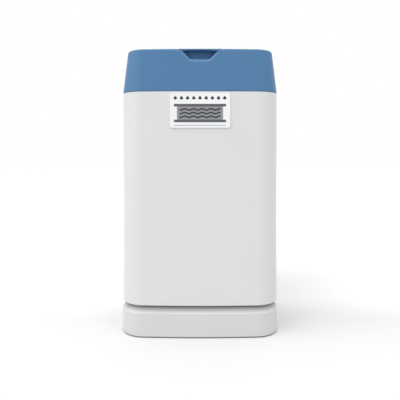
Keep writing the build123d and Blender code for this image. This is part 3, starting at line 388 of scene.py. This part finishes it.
# Painted shade: the plinth's colour darkens in the toe step and up the shoulder under the tub.
painted_shade_by_height(plinth_shell, groove_top, (*step_shade_tones, *groove_shade_tones))
add_piece("plinth_shell", plinth_shell, "cabinet")
soften(plinth, 0.0006, sharp=25)
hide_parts("cabinet_base")


# Base screws: bright pan-head screws that come up through the plinth's pillars into the tub. The hinge
# pins, the piston's rod and the motor's pinion are made of the same bright steel.
steel_grey = (0.66, 0.67, 0.68)


def drawn_metal():
    """Node group for machined and drawn metal: fine streaks round or along the piece."""
    group = bpy.data.node_groups.new("drawn_metal", "ShaderNodeTree")
    face = group.interface
    face.new_socket("Color", in_out="INPUT", socket_type="NodeSocketColor")
    for name in ("Roughness", "Spread"):
        face.new_socket(name, in_out="INPUT", socket_type="NodeSocketFloat")
    face.new_socket("Lay", in_out="INPUT", socket_type="NodeSocketVector")
    face.new_socket("Color", in_out="OUTPUT", socket_type="NodeSocketColor")
    face.new_socket("Roughness", in_out="OUTPUT", socket_type="NodeSocketFloat")
    face.new_socket("Streak", in_out="OUTPUT", socket_type="NodeSocketFloat")
    nodes = group.nodes
    links = group.links
    given = nodes.new("NodeGroupInput")
    result = nodes.new("NodeGroupOutput")
    place = nodes.new("ShaderNodeTexCoord")
    along = nodes.new("ShaderNodeVectorMath")
    along.operation = "MULTIPLY"
    links.new(place.outputs["Object"], along.inputs[0])
    links.new(given.outputs["Lay"], along.inputs[1])
    streak = nodes.new("ShaderNodeTexNoise")
    streak.inputs["Scale"].default_value = 1.0
    streak.inputs["Detail"].default_value = 4.0
    links.new(along.outputs[0], streak.inputs["Vector"])
    centred = nodes.new("ShaderNodeMath")
    centred.operation = "SUBTRACT"
    centred.inputs[1].default_value = 0.5
    links.new(streak.outputs["Fac"], centred.inputs[0])
    rough = nodes.new("ShaderNodeMath")
    rough.operation = "MULTIPLY_ADD"
    links.new(centred.outputs[0], rough.inputs[0])
    links.new(given.outputs["Spread"], rough.inputs[1])
    links.new(given.outputs["Roughness"], rough.inputs[2])
    links.new(rough.outputs[0], result.inputs["Roughness"])
    brightness = nodes.new("ShaderNodeMath")
    brightness.operation = "MULTIPLY_ADD"
    brightness.inputs[1].default_value = 0.12
    brightness.inputs[2].default_value = 1.0
    links.new(centred.outputs[0], brightness.inputs[0])
    tint = nodes.new("ShaderNodeVectorMath")
    tint.operation = "SCALE"
    links.new(given.outputs["Color"], tint.inputs[0])
    links.new(brightness.outputs[0], tint.inputs["Scale"])
    links.new(tint.outputs[0], result.inputs["Color"])
    links.new(streak.outputs["Fac"], result.inputs["Streak"])
    return group


metal_group = drawn_metal()


def metal(name, color, rough, lay, depth=0.000004):
    """Bare metal. The lay is streaks per metre along X, Y and Z, so low numbers run along the grain."""
    material = bpy.data.materials.new(name)
    material.use_nodes = True
    nodes = material.node_tree.nodes
    links = material.node_tree.links
    shader = nodes["Principled BSDF"]
    lines = nodes.new("ShaderNodeGroup")
    lines.node_tree = metal_group
    lines.inputs["Color"].default_value = (*color, 1.0)
    lines.inputs["Roughness"].default_value = rough
    lines.inputs["Spread"].default_value = 0.25
    lines.inputs["Lay"].default_value = lay
    bump = nodes.new("ShaderNodeBump")
    bump.inputs["Strength"].default_value = 0.6
    bump.inputs["Distance"].default_value = depth
    links.new(lines.outputs["Color"], shader.inputs["Base Color"])
    links.new(lines.outputs["Roughness"], shader.inputs["Roughness"])
    links.new(lines.outputs["Streak"], bump.inputs["Height"])
    links.new(bump.outputs["Normal"], shader.inputs["Normal"])
    shader.inputs["Metallic"].default_value = 1.0
    return material


bright_steel = metal("bright_steel", steel_grey, rough=0.28, lay=(900.0, 60.0, 900.0))
dress(bright_steel, 0.0002, "base_screws", "hatch_pins", "piston_rod", "motor_pinion")


# Cover and hatch: blue plastic shells with a finer, slightly softer skin than the tub. The hatch lies
# flush in the cover on its two steel pins, and its tongue hangs over the finger scoop. The scoop's
# lip is rounded, and a pale highlight is painted on it.
cover_blue = (0.072, 0.207, 0.398)
cover_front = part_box("top_cover")[0].y
rim_highlight_blue = (0.112, 0.248, 0.440)
rim_depth = (0.016, 0.011)
rim_half = (0.049, 0.045)
rim_end = 0.051
rim_slope = (0.16, 0.34)
rim_low = 0.545
rim_high = 0.5725
rim_roll = 0.004
front_facing = 0.95


def share_between(nodes, links, source, start, end):
    """A mask that rises from 0 at start to 1 at end."""
    rise = nodes.new("ShaderNodeMapRange")
    rise.inputs["From Min"].default_value = start
    rise.inputs["From Max"].default_value = end
    links.new(source, rise.inputs["Value"])
    return rise.outputs["Result"]


def painted_rim_highlight(material):
    """Paint a pale highlight on the lip of the finger scoop: it slopes up, close behind the cover's front."""
    nodes = material.node_tree.nodes
    links = material.node_tree.links
    place = nodes.new("ShaderNodeTexCoord")
    axes = nodes.new("ShaderNodeSeparateXYZ")
    links.new(place.outputs["Object"], axes.inputs[0])
    facing = nodes.new("ShaderNodeSeparateXYZ")
    links.new(place.outputs["Normal"], facing.inputs[0])
    across = nodes.new("ShaderNodeMath")
    across.operation = "ABSOLUTE"
    links.new(axes.outputs["X"], across.inputs[0])
    mask = share_between(nodes, links, facing.outputs["Z"], *rim_slope)
    near = [cover_front + depth for depth in rim_depth]
    close = share_between(nodes, links, axes.outputs["Y"], *near)
    central = share_between(nodes, links, across.outputs[0], *rim_half)
    for other in (close, central):
        both = nodes.new("ShaderNodeMath")
        both.operation = "MULTIPLY"
        links.new(mask, both.inputs[0])
        links.new(other, both.inputs[1])
        mask = both.outputs[0]
    shader = nodes["Principled BSDF"]
    tint = nodes.new("ShaderNodeMix")
    tint.data_type = "RGBA"
    links.new(mask, tint.inputs["Factor"])
    links.new(shader.inputs["Base Color"].links[0].from_socket, tint.inputs["A"])
    tint.inputs["B"].default_value = (*rim_highlight_blue, 1.0)
    links.new(tint.outputs["Result"], shader.inputs["Base Color"])


def on_the_lip(point):
    """Whether a point lies on the front of the finger scoop's lip."""
    near = point.y < cover_front + rim_depth[1] and abs(point.x) < rim_end
    return near and rim_low < point.z < rim_high


blue_shell, cover_shell = [
    moulded(name, cover_blue, rough=0.46, grain=0.0009, depth=0.000006, drift=0.04, specular=0.4)
    for name in ("cover_blue", "cover_blue_highlit")
]
# Painted highlight: a paler blue on the upward-facing lip of the finger scoop.
painted_rim_highlight(cover_shell)
cover = copy_of("top_cover", "cover_moulding")
beside = {}
for face in cover.data.polygons:
    for key in face.edge_keys:
        beside.setdefault(key, []).append(face.normal)
for edge in cover.data.edges:
    ends = [cover.data.vertices[corner].co for corner in edge.vertices]
    meets_front = any(look.y < -front_facing for look in beside[edge.key])
    meets_slope = any(look.z > rim_slope[1] for look in beside[edge.key])
    edge.select = on_the_lip((ends[0] + ends[1]) / 2) and meets_front and meets_slope
bevel_chosen(rim_roll, segments=5, profile=0.5)
add_piece("cover_moulding", cover_shell, "cover")
soften(cover, 0.0012)
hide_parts("top_cover")
dress(blue_shell, 0.0004, "salt_hatch")


# Badge plate: a thin satin aluminium plate stuck on under the cover. Its sunk field carries a plain
# printed design: a row of drops, two dark grey bars with a panel of three waves between them, and a
# fine pale rule.
badge_low, badge_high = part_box("badge_plate")
badge_rim = 0.0022
field_depth = 0.0003
field_area = 0.001
flat_facing = 0.999
print_thickness = 0.00012
print_lift = 0.00001
panel_size = (0.091, 0.026)
panel_corner = 0.002
panel_drop = 0.0052
bar_size = (0.103, 0.0052)
bar_rows = (0.0104, -0.0207)
wave_count = 3
wave_spacing = 0.0072
wave_margins = 0.010
wave_width = 0.0032
wave_height = 0.0026
wave_pitch = 0.0172
wave_steps = 96
drop_size = 0.0072
drop_slimness = 0.62
drop_spacing = 0.0122
drop_count = 9
rule_height = 0.0012
round_corners = 32
upright = (radians(90), 0, 0)

badge_silver = metal("badge_silver", (0.80, 0.81, 0.82), rough=0.42, lay=(40.0, 900.0, 900.0), depth=0.000002)
panel_grey = moulded("badge_panel_grey", (0.30, 0.31, 0.32), rough=0.5, grain=0.0006, depth=0.000002)
bar_grey = moulded("badge_bar_grey", (0.11, 0.11, 0.115), rough=0.5, grain=0.0006, depth=0.000002)
print_dark = moulded("badge_print_dark", (0.030, 0.034, 0.040), rough=0.45, grain=0.0006, depth=0.000002)
print_pale = moulded("badge_print_pale", (0.33, 0.38, 0.44), rough=0.5, grain=0.0006, depth=0.000002)

plate = copy_of("badge_plate", "badge_face")
for face in plate.data.polygons:
    face.select = face.normal.y < -flat_facing and face.area > field_area
bpy.ops.object.mode_set(mode="EDIT")
bpy.ops.mesh.inset(thickness=badge_rim, depth=0)
bpy.ops.mesh.extrude_region_move(TRANSFORM_OT_translate={"value": (0, field_depth, 0)})
bpy.ops.object.mode_set(mode="OBJECT")
add_piece("badge_face", badge_silver, "cabinet")
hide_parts("badge_plate")

field = badge_low.y + field_depth
print_back = field - print_lift
badge_middle = (badge_low.z + badge_high.z) / 2
drop_row = badge_high.z - 0.0093
rule_row = badge_low.z + 0.0052


def flat_print(name, material, raised):
    """Turn the flat outline that was just made into a thin printed layer."""
    layer = bpy.context.object.modifiers.new("ink", "SOLIDIFY")
    layer.thickness = raised
    layer.offset = 1.0
    bpy.ops.object.modifier_apply(modifier=layer.name)
    add_piece(name, material, "cabinet")


def upright_oblong(size, level):
    """A flat oblong that stands in the badge's field, with its middle at a height."""
    alone()
    bpy.ops.mesh.primitive_plane_add(size=1, location=(0, print_back, level), rotation=upright)
    bpy.context.object.scale = (*size, 1)
    bpy.ops.object.transform_apply(location=False, rotation=False, scale=True)


upright_oblong(panel_size, badge_middle - panel_drop)
bpy.ops.object.mode_set(mode="EDIT")
bpy.ops.mesh.select_all(action="SELECT")
bpy.ops.mesh.bevel(offset=panel_corner, offset_type="OFFSET", segments=6, affect="VERTICES")
bpy.ops.object.mode_set(mode="OBJECT")
flat_print("badge_panel", panel_grey, print_thickness)

for number, row in enumerate(bar_rows):
    upright_oblong(bar_size, badge_middle + row)
    flat_print(f"badge_bar_{number + 1}", bar_grey, print_thickness)

for row in range(wave_count):
    alone()
    bpy.ops.mesh.primitive_grid_add(x_subdivisions=wave_steps, y_subdivisions=1, size=1, rotation=upright)
    wave = bpy.context.object
    wave_row = badge_middle - panel_drop + ((wave_count - 1) / 2 - row) * wave_spacing
    wave.location = (0, print_back - print_thickness, wave_row)
    wave.scale = (panel_size[0] - wave_margins, wave_width, 1)
    bpy.ops.object.transform_apply(location=False, rotation=False, scale=True)
    for vertex in wave.data.vertices:
        vertex.co.y += wave_height / 2 * sin(2 * pi * vertex.co.x / wave_pitch)
    flat_print(f"badge_wave_{row + 1}", print_dark, print_thickness)

for number in range(drop_count):
    alone()
    bpy.ops.mesh.primitive_circle_add(vertices=round_corners, radius=1, fill_type="NGON", rotation=upright)
    drop = bpy.context.object
    for vertex in drop.data.vertices:
        turn = atan2(vertex.co.x, vertex.co.y)
        vertex.co.x = drop_size * drop_slimness * sin(turn) * sin(abs(turn) / 2)
        vertex.co.y = drop_size / 2 * cos(turn)
    drop.location = ((number - (drop_count - 1) / 2) * drop_spacing, print_back, drop_row)
    flat_print(f"badge_drop_{number + 1}", print_dark, print_thickness)

upright_oblong((bar_size[0], rule_height), rule_row)
flat_print("badge_rule", print_pale, print_thickness)


# Pressure tank: polyethylene liner wound with glass fibre in crossing bands under clear resin, set in
# a black rubber boot. The resin bed, riser and strainers inside it are never seen.
tank_low, tank_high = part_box("resin_tank")
tank_middle = ((tank_low.x + tank_high.x) / 2, (tank_low.y + tank_high.y) / 2)
bands_round = 26.0
bands_up = 300.0


def wound_glass(name):
    """Bands of glass that cross as they climb round the tank, in two tones."""
    material = bpy.data.materials.new(name)
    material.use_nodes = True
    nodes = material.node_tree.nodes
    links = material.node_tree.links
    shader = nodes["Principled BSDF"]
    place = nodes.new("ShaderNodeTexCoord")
    centre = nodes.new("ShaderNodeMapping")
    centre.inputs["Location"].default_value = (-tank_middle[0], -tank_middle[1], 0)
    links.new(place.outputs["Object"], centre.inputs["Vector"])
    parts = nodes.new("ShaderNodeSeparateXYZ")
    links.new(centre.outputs[0], parts.inputs[0])
    turn = nodes.new("ShaderNodeMath")
    turn.operation = "ARCTAN2"
    links.new(parts.outputs["Y"], turn.inputs[0])
    links.new(parts.outputs["X"], turn.inputs[1])

    def bands(hand):
        """Ridges of glass that climb round the tank, to one hand or the other."""
        climb = nodes.new("ShaderNodeMath")
        climb.operation = "MULTIPLY"
        climb.inputs[1].default_value = bands_up
        links.new(parts.outputs["Z"], climb.inputs[0])
        along = nodes.new("ShaderNodeMath")
        along.operation = "MULTIPLY_ADD"
        along.inputs[1].default_value = hand * bands_round
        links.new(turn.outputs[0], along.inputs[0])
        links.new(climb.outputs[0], along.inputs[2])
        ridge = nodes.new("ShaderNodeMath")
        ridge.operation = "SINE"
        links.new(along.outputs[0], ridge.inputs[0])
        return ridge.outputs[0]

    crossed = nodes.new("ShaderNodeMath")
    crossed.operation = "MAXIMUM"
    links.new(bands(1.0), crossed.inputs[0])
    links.new(bands(-1.0), crossed.inputs[1])
    strands = nodes.new("ShaderNodeTexNoise")
    strands.inputs["Scale"].default_value = 220.0
    strands.inputs["Detail"].default_value = 4.0
    links.new(centre.outputs[0], strands.inputs["Vector"])
    tone = nodes.new("ShaderNodeMath")
    tone.operation = "MULTIPLY_ADD"
    tone.inputs[1].default_value = 0.35
    links.new(crossed.outputs[0], tone.inputs[0])
    links.new(strands.outputs["Fac"], tone.inputs[2])
    colours = nodes.new("ShaderNodeValToRGB")
    colours.color_ramp.elements[0].position = 0.2
    colours.color_ramp.elements[0].color = (0.36, 0.37, 0.31, 1.0)
    colours.color_ramp.elements[1].position = 0.95
    colours.color_ramp.elements[1].color = (0.55, 0.55, 0.48, 1.0)
    links.new(tone.outputs[0], colours.inputs[0])
    links.new(colours.outputs["Color"], shader.inputs["Base Color"])
    bump = nodes.new("ShaderNodeBump")
    bump.inputs["Strength"].default_value = 0.5
    bump.inputs["Distance"].default_value = 0.0003
    links.new(tone.outputs[0], bump.inputs["Height"])
    links.new(bump.outputs["Normal"], shader.inputs["Normal"])
    shader.inputs["Roughness"].default_value = 0.32
    shader.inputs["Coat Weight"].default_value = 0.4
    shader.inputs["Coat Roughness"].default_value = 0.15
    return material


tank_wound = wound_glass("tank_wound")
boot_black = moulded("boot_black", (0.022, 0.022, 0.024), rough=0.75, grain=0.0005, depth=0.00002)
resin_amber = moulded("resin_amber", (0.30, 0.13, 0.03), rough=0.3, grain=0.0008, depth=0.0003, drift=0.5)
dress(tank_wound, 0, "resin_tank")
dress(boot_black, 0.0006, "tank_boot")
dress(resin_amber, 0, "resin_bed")


# Pale plumbing: natural and white pipe-grade plastics, turned or moulded, with a dry matt skin. The
# brine line is smoother drawn tube, and the float is coarse foamed plastic.
pipe_white = moulded("pipe_white", (0.77, 0.77, 0.74), rough=0.5, grain=0.0007, depth=0.00001)
tube_white = moulded("tube_white", (0.70, 0.71, 0.69), rough=0.38, grain=0.0015, depth=0.000004)
float_white = moulded("float_white", (0.82, 0.82, 0.79), rough=0.85, grain=0.0011, depth=0.00009)
dress(pipe_white, 0.0003, "riser_tube", "meter_cage", "meter_turbine", "valve_piston", "float_rod")
dress(pipe_white, 0.0004, "brine_well", "well_cap", "pickup_tube", "overflow_elbow", "overflow_nut")
dress(tube_white, 0, "brine_line")
dress(float_white, 0, "brine_float")


# Grey inner plastics: the moulded spacers, strainers, injector and rotors, and the paler slotted grid
# that lies under the salt.
spacer_grey = moulded("spacer_grey", (0.12, 0.125, 0.13), rough=0.5, grain=0.0006, depth=0.00001)
grid_grey = moulded("grid_grey", (0.35, 0.36, 0.37), rough=0.5, grain=0.0012, depth=0.00002)
dress(spacer_grey, 0.0002, "bottom_distributor", "top_distributor", "seal_spacers", "injector", "air_check")
dress(spacer_grey, 0.0003, "inlet_rotor", "outlet_rotor")
dress(grid_grey, 0.0005, "salt_grid")


# Control valve and bypass: black glass-filled nylon, with the fine mottled skin that the glass leaves.
# Black rubber rings and gaskets seal the joints between them.
nylon_black = (0.020, 0.020, 0.022)
valve_black = moulded("valve_black", nylon_black, rough=0.48, grain=0.0004, depth=0.00003, drift=0.15)
dress(valve_black, 0.0003, "valve_body", "end_cap", "drive_bracket", "power_inlet", "injector_cap")
dress(valve_black, 0.0003, "brine_elbow", "drain_elbow", "bypass_body", "rotor_caps", "brine_valve")
dress(valve_black, 0.0006, "union_nuts")

seal_rubber = moulded("seal_rubber", (0.014, 0.014, 0.014), rough=0.65, grain=0.0003, depth=0.00001)
dress(seal_rubber, 0, "o_rings", "piston_seals", "overflow_gasket")


# Drive: acetal gears on their posts, turned by a small zinc-plated synchronous motor through its
# bright steel pinion.
gear_acetal = moulded("gear_acetal", (0.80, 0.78, 0.70), rough=0.38, grain=0.0008, depth=0.000004)
motor_steel = metal("motor_steel", (0.55, 0.56, 0.57), rough=0.38, lay=(300.0, 300.0, 300.0))
dress(gear_acetal, 0.00015, "main_gear", "reduction_gear")
dress(motor_steel, 0.0004, "drive_motor")


# Valve cover, display and keys: a dark grained housing with a clear window over the display, and four
# soft grey keys on the sloping panel. The board behind them carries the key switches.
housing_dark = moulded("housing_dark", (0.030, 0.033, 0.040), rough=0.55, grain=0.0005, depth=0.00006)
key_grey = moulded("key_grey", (0.52, 0.55, 0.58), rough=0.6, grain=0.0004, depth=0.00002)
board_green = moulded("board_green", (0.006, 0.085, 0.03), rough=0.3, grain=0.002, depth=0.00003, drift=0.3)
display_grey = moulded("display_grey", (0.17, 0.20, 0.15), rough=0.12, grain=0.002, depth=0.000001)
dress(housing_dark, 0.0006, "valve_cover")
dress(key_grey, 0.0002, "key_set", "key_down", "key_up", "key_clock")
dress(board_green, 0.0001, "control_board")
dress(display_grey, 0.0002, "display_module")

window_clear = bpy.data.materials.new("window_clear")
window_clear.use_nodes = True
pane = window_clear.node_tree.nodes["Principled BSDF"]
pane.inputs["Base Color"].default_value = (0.86, 0.90, 0.90, 1.0)
pane.inputs["Roughness"].default_value = 0.04
pane.inputs["IOR"].default_value = 1.49
pane.inputs["Transmission Weight"].default_value = 1.0
smear = window_clear.node_tree.nodes.new("ShaderNodeTexNoise")
smear.inputs["Scale"].default_value = 60.0
smear_bump = window_clear.node_tree.nodes.new("ShaderNodeBump")
smear_bump.inputs["Strength"].default_value = 0.3
smear_bump.inputs["Distance"].default_value = 0.000005
smear_place = window_clear.node_tree.nodes.new("ShaderNodeTexCoord")
window_clear.node_tree.links.new(smear_place.outputs["Object"], smear.inputs["Vector"])
window_clear.node_tree.links.new(smear.outputs["Fac"], smear_bump.inputs["Height"])
window_clear.node_tree.links.new(smear_bump.outputs["Normal"], pane.inputs["Normal"])
dress(window_clear, 0.0002, "display_window")


# Key signs: a dot, two arrowheads and a clock, printed in pale ink on the sloping panel, each just above
# the key that it names.
panel_middle = (-0.03885, 0.524)
panel_slope = atan2(0.848, 0.530)
sign_row = -0.0073
sign_y = panel_middle[0] + sign_row * cos(panel_slope)
sign_z = panel_middle[1] + sign_row * sin(panel_slope)
sign_spacing = 0.022
sign_size = 0.0016
sign_thickness = 0.0001
clock_line = 0.24 * sign_size
clock_hand = 0.9 * sign_size
clock_hand_rise = 0.4 * sign_size
signs = {"dot": (round_corners, 0), "down": (3, 180), "up": (3, 0), "clock": (round_corners, 0)}

sign_ink = moulded("sign_ink", (0.62, 0.64, 0.66), rough=0.5, grain=0.0005, depth=0.000002)
for number, (name, (corners, turn)) in enumerate(signs.items()):
    alone()
    place = ((number - (len(signs) - 1) / 2) * sign_spacing, sign_y, sign_z)
    bpy.ops.mesh.primitive_circle_add(vertices=corners, radius=sign_size, fill_type="NGON", location=place)
    sign = bpy.context.object
    for vertex in sign.data.vertices:
        x, y = vertex.co.x, vertex.co.y
        vertex.co.x = x * cos(radians(turn)) - y * sin(radians(turn))
        vertex.co.y = x * sin(radians(turn)) + y * cos(radians(turn))
    if name == "clock":
        bpy.ops.object.mode_set(mode="EDIT")
        bpy.ops.mesh.select_all(action="SELECT")
        bpy.ops.mesh.inset(thickness=clock_line, depth=0)
        bpy.ops.mesh.delete(type="FACE")
        bpy.ops.mesh.primitive_plane_add(size=1, location=place)
        bpy.ops.transform.resize(value=(clock_line, clock_hand, 1))
        bpy.ops.transform.translate(value=(0, clock_hand_rise, 0))
        bpy.ops.object.mode_set(mode="OBJECT")
    sign.rotation_euler.x = panel_slope
    flat_print(f"sign_{name}", sign_ink, sign_thickness)


# Bypass handles: red moulded levers pressed on the two rotors, which send the water through the
# conditioner or past it.
handle_red = moulded("handle_red", (0.42, 0.012, 0.010), rough=0.36, grain=0.0008, depth=0.000006)
dress(handle_red, 0.0004, "inlet_handle", "outlet_handle")


# Pipe adapters: machined brass, a flange and a hexagon with a spigot that carries a 3/4 inch pipe thread.
# The thread is one helix that runs out at the hexagon and at the chamfered mouth.
adapter_x = 0.036
adapter_z = 0.446
hexagon_end = 0.21015
hexagon_slack = 0.0001
spigot_radius = (0.0125, 0.0134)
thread_start = 0.2112
thread_end = 0.2378
thread_pitch = 0.001814
thread_crest = 0.0132
thread_depth = 0.00116
sleeve_bore = 0.0108
thread_steps = (56, 118)
end_share = 0.001
smooth_angle = 38

brass_bright = metal("brass_bright", (0.72, 0.50, 0.22), rough=0.27, lay=(700.0, 50.0, 700.0))
adapters = copy_of("pipe_adapters", "brass_adapters")
for vertex in adapters.data.vertices:
    side = adapter_x if vertex.co.x > 0 else -adapter_x
    off = (vertex.co.x - side, vertex.co.z - adapter_z)
    radius = sqrt(off[0] ** 2 + off[1] ** 2)
    if vertex.co.y > hexagon_end - hexagon_slack and spigot_radius[0] < radius < spigot_radius[1]:
        vertex.co.x = side + off[0] * (thread_crest - thread_depth) / radius
        vertex.co.z = adapter_z + off[1] * (thread_crest - thread_depth) / radius

sleeves = []
span = thread_end - thread_start
for side in (-adapter_x, adapter_x):
    alone()
    bpy.ops.mesh.primitive_grid_add(x_subdivisions=thread_steps[0], y_subdivisions=thread_steps[1], size=1)
    sleeve = bpy.context.object
    for vertex in sleeve.data.vertices:
        round_share, along = vertex.co.x + 0.5, vertex.co.y + 0.5
        cut = 0.5 - 0.5 * cos(2 * pi * (along * span / thread_pitch - round_share))
        depth_left = min(1.0, along * span / thread_pitch, (1 - along) * span / thread_pitch)
        radius = thread_crest - thread_depth * (1 - depth_left * (1 - cut))
        if min(along, 1 - along) < end_share:
            radius = sleeve_bore
        turn = 2 * pi * round_share
        vertex.co = (side + radius * sin(turn), thread_start + along * span, adapter_z + radius * cos(turn))
    bpy.ops.object.mode_set(mode="EDIT")
    bpy.ops.mesh.select_all(action="SELECT")
    bpy.ops.mesh.remove_doubles(threshold=weld_gap)
    bpy.ops.mesh.select_all(action="DESELECT")
    bpy.ops.mesh.select_mode(type="EDGE")
    bpy.ops.mesh.select_non_manifold()
    bpy.ops.mesh.bridge_edge_loops()
    bpy.ops.mesh.select_all(action="SELECT")
    bpy.ops.mesh.normals_make_consistent(inside=False)
    bpy.ops.mesh.select_mode(type="FACE")
    bpy.ops.object.mode_set(mode="OBJECT")
    sleeves.append(sleeve)

alone()
for piece in (*sleeves, adapters):
    piece.select_set(True)
bpy.context.view_layer.objects.active = adapters
bpy.ops.object.join()
bpy.ops.object.shade_smooth_by_angle(angle=radians(smooth_angle))
add_piece("brass_adapters", brass_bright, "cabinet")
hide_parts("pipe_adapters")
